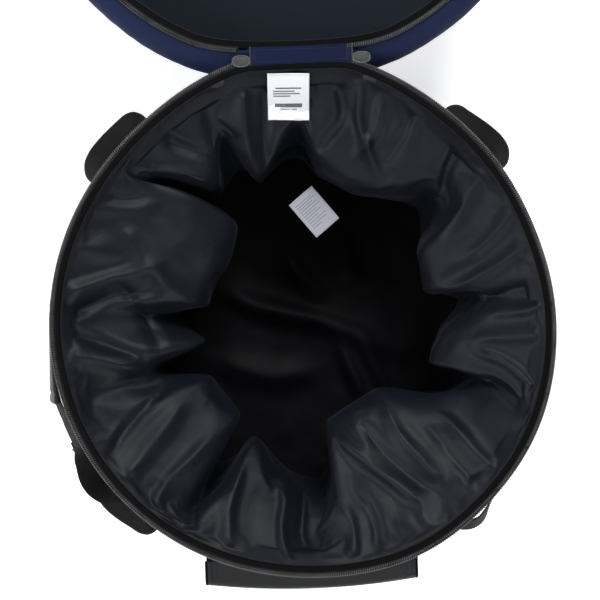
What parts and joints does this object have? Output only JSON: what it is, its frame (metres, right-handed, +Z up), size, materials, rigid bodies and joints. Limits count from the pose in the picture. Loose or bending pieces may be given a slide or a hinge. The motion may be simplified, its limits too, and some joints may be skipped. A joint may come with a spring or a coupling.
{
  "type": "steel pan carrying bag",
  "caption": "Round padded carrying bag for a steel pan, zip undone and lid laid back, with a loose lining, webbing grab handles, a padded strap and a front pocket.",
  "frame": {"origin": "centre of the base's underside, on the floor it stands on", "axes": "+Z up through the mouth, +Y towards the lid's hinge, -Y towards the front pocket, +X to the right seen from the pocket's side"},
  "size_m": [0.6442, 1.2666, 0.2998],
  "materials": {
    "shell_navy": "coated woven nylon",
    "shell_black": "coated woven nylon",
    "binding_tape": "ribbed binding tape",
    "webbing": "woven webbing",
    "lining": "thin satin nylon",
    "foam": "closed-cell foam",
    "board": "matt",
    "zip_tape": "woven tape",
    "zip_coil": "nylon coil",
    "zip_metal": "black enamel",
    "end_cover": "coated patch",
    "label": "white woven satin",
    "hook_loop": "hook and loop",
    "piping": "covered cord"
  },
  "bodies": {
    "bag": {"bag_zip_coil": "zip_coil", "bag_zip_tape": "zip_tape", "base_board": "board", "base_fabric": "shell_black", "base_foam": "foam", "base_piping": "piping", "care_label": "label", "handle_patches": "webbing", "hinge_strip": "shell_navy", "liner": "lining", "liner_floor": "lining", "maker_label": "label", "pocket_bottom": "shell_black", "pocket_front": "shell_black", "pocket_loop_tape": "hook_loop", "pocket_sides": "shell_black", "pocket_top": "shell_black", "rim_binding": "binding_tape", "strap_patches": "webbing", "wall_fabric": "shell_navy", "wall_foam": "foam", "zip_end_covers": "end_cover"},
    "lid": {"lid_band_foam_lower": "foam", "lid_band_foam_upper": "foam", "lid_band_lining": "lining", "lid_binding": "binding_tape", "lid_lining_panel": "lining", "lid_piping": "piping", "lid_side_band": "shell_navy", "lid_top_fabric": "shell_navy", "lid_top_foam": "foam", "lid_zip_coil": "zip_coil", "lid_zip_tape": "zip_tape"},
    "slider_left": {"zip_slider_left": "zip_metal"},
    "slider_right": {"zip_slider_right": "zip_metal"},
    "pull_left": {"zip_pull_left": "zip_metal"},
    "pull_right": {"zip_pull_right": "zip_metal"},
    "handle_back_left": {"handle_back_left": "webbing"},
    "handle_back_right": {"handle_back_right": "webbing"},
    "handle_front_left": {"handle_front_left": "webbing"},
    "handle_front_right": {"handle_front_right": "webbing"},
    "carry_strap": {"strap_adjuster": "board", "strap_pad": "shell_black", "strap_webbing_front": "webbing", "strap_webbing_rear": "webbing"},
    "flap": {"pocket_flap": "shell_black", "flap_hook_tape": "hook_loop"}
  },
  "joints": [
    {"name": "lid_hinge", "type": "hinge", "parent": "bag", "child": "lid", "pos_m": [0, 0.30425, 0.3], "axis": [1, 0, 0], "range_deg": [0, 180], "deforming": ["hinge_strip", "zip_end_covers"]},
    {"name": "slider_left_run", "type": "hinge", "parent": "bag", "child": "slider_left", "pos_m": [0, 0, 0.3], "axis": [0, 0, 1], "range_deg": [0, 158]},
    {"name": "slider_right_run", "type": "hinge", "parent": "bag", "child": "slider_right", "pos_m": [0, 0, 0.3], "axis": [0, 0, -1], "range_deg": [0, 158]},
    {"name": "pull_left_swing", "type": "hinge", "parent": "slider_left", "child": "pull_left", "pos_m": [-0.09175, 0.29098, 0.2945], "axis": [0.9537, 0.3007, 0], "range_deg": [0, 12]},
    {"name": "pull_right_swing", "type": "hinge", "parent": "slider_right", "child": "pull_right", "pos_m": [0.09175, 0.29098, 0.2945], "axis": [0.9537, -0.3007, 0], "range_deg": [0, 12]},
    {"name": "back_right_handle_lift", "type": "hinge", "parent": "bag", "child": "handle_back_right", "pos_m": [0.2028, 0.2028, 0.199], "axis": [0.7071, -0.7071, 0], "range_deg": [0, 35]},
    {"name": "back_left_handle_lift", "type": "hinge", "parent": "bag", "child": "handle_back_left", "pos_m": [-0.2028, 0.2028, 0.199], "axis": [0.7071, 0.7071, 0], "range_deg": [0, 35]},
    {"name": "front_left_handle_lift", "type": "hinge", "parent": "bag", "child": "handle_front_left", "pos_m": [-0.20102, -0.20456, 0.199], "axis": [-0.7133, 0.7009, 0], "range_deg": [0, 9]},
    {"name": "front_right_handle_lift", "type": "hinge", "parent": "bag", "child": "handle_front_right", "pos_m": [0.1956, -0.20975, 0.199], "axis": [-0.7314, -0.682, 0], "range_deg": [0, 35]},
    {"name": "strap_lift", "type": "hinge", "parent": "bag", "child": "carry_strap", "pos_m": [-0.26861, 0.10852, 0.242], "axis": [-0.1651, 0.9863, 0], "range_deg": [0, 25]},
    {"name": "flap_hinge", "type": "hinge", "parent": "bag", "child": "flap", "pos_m": [0, -0.296, 0.217], "axis": [-1, 0, 0], "range_deg": [0, 80]}
  ]
}
